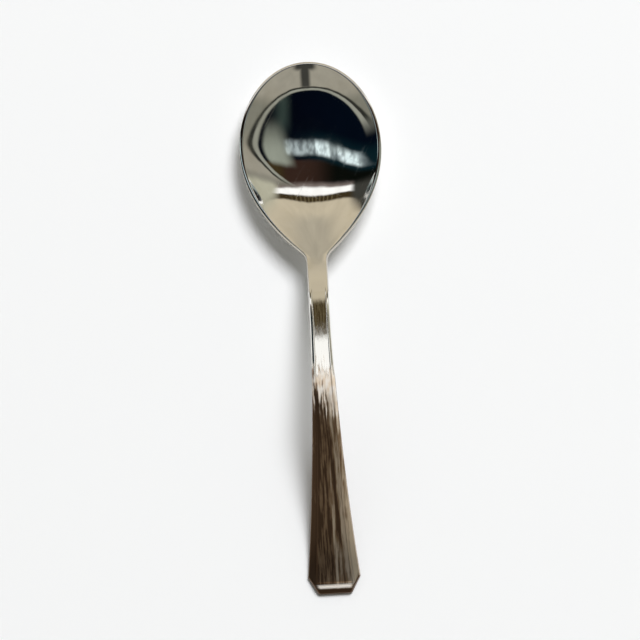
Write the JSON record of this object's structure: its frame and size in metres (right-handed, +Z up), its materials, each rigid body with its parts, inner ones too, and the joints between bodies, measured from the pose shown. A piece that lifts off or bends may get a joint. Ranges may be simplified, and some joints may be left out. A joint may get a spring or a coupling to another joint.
{
  "type": "soup spoon",
  "caption": "Round-bowled soup spoon in silver plate with an arched neck and a framed, widening handle with cut corners.",
  "frame": {"origin": "on the table, under the middle of the spoon's bounding box", "axes": "+Y along the spoon towards the tip of the bowl, +Z up from the table, +X across the spoon"},
  "size_m": [0.0468, 0.178, 0.0243],
  "materials": {
    "polished_bowl": "mirror-polished silver plate with hairline scratches",
    "handle_silver": "polished silver plate, rubbed bright on the raised lines",
    "panel_silver": "polished silver plate with a light warm tarnish"
  },
  "bodies": {
    "root": {"bowl": "polished_bowl", "neck": "polished_bowl", "stem": "handle_silver", "handle_panel": "panel_silver", "left_border": "handle_silver", "right_border": "handle_silver", "end_border": "handle_silver"}
  },
  "joints": []
}
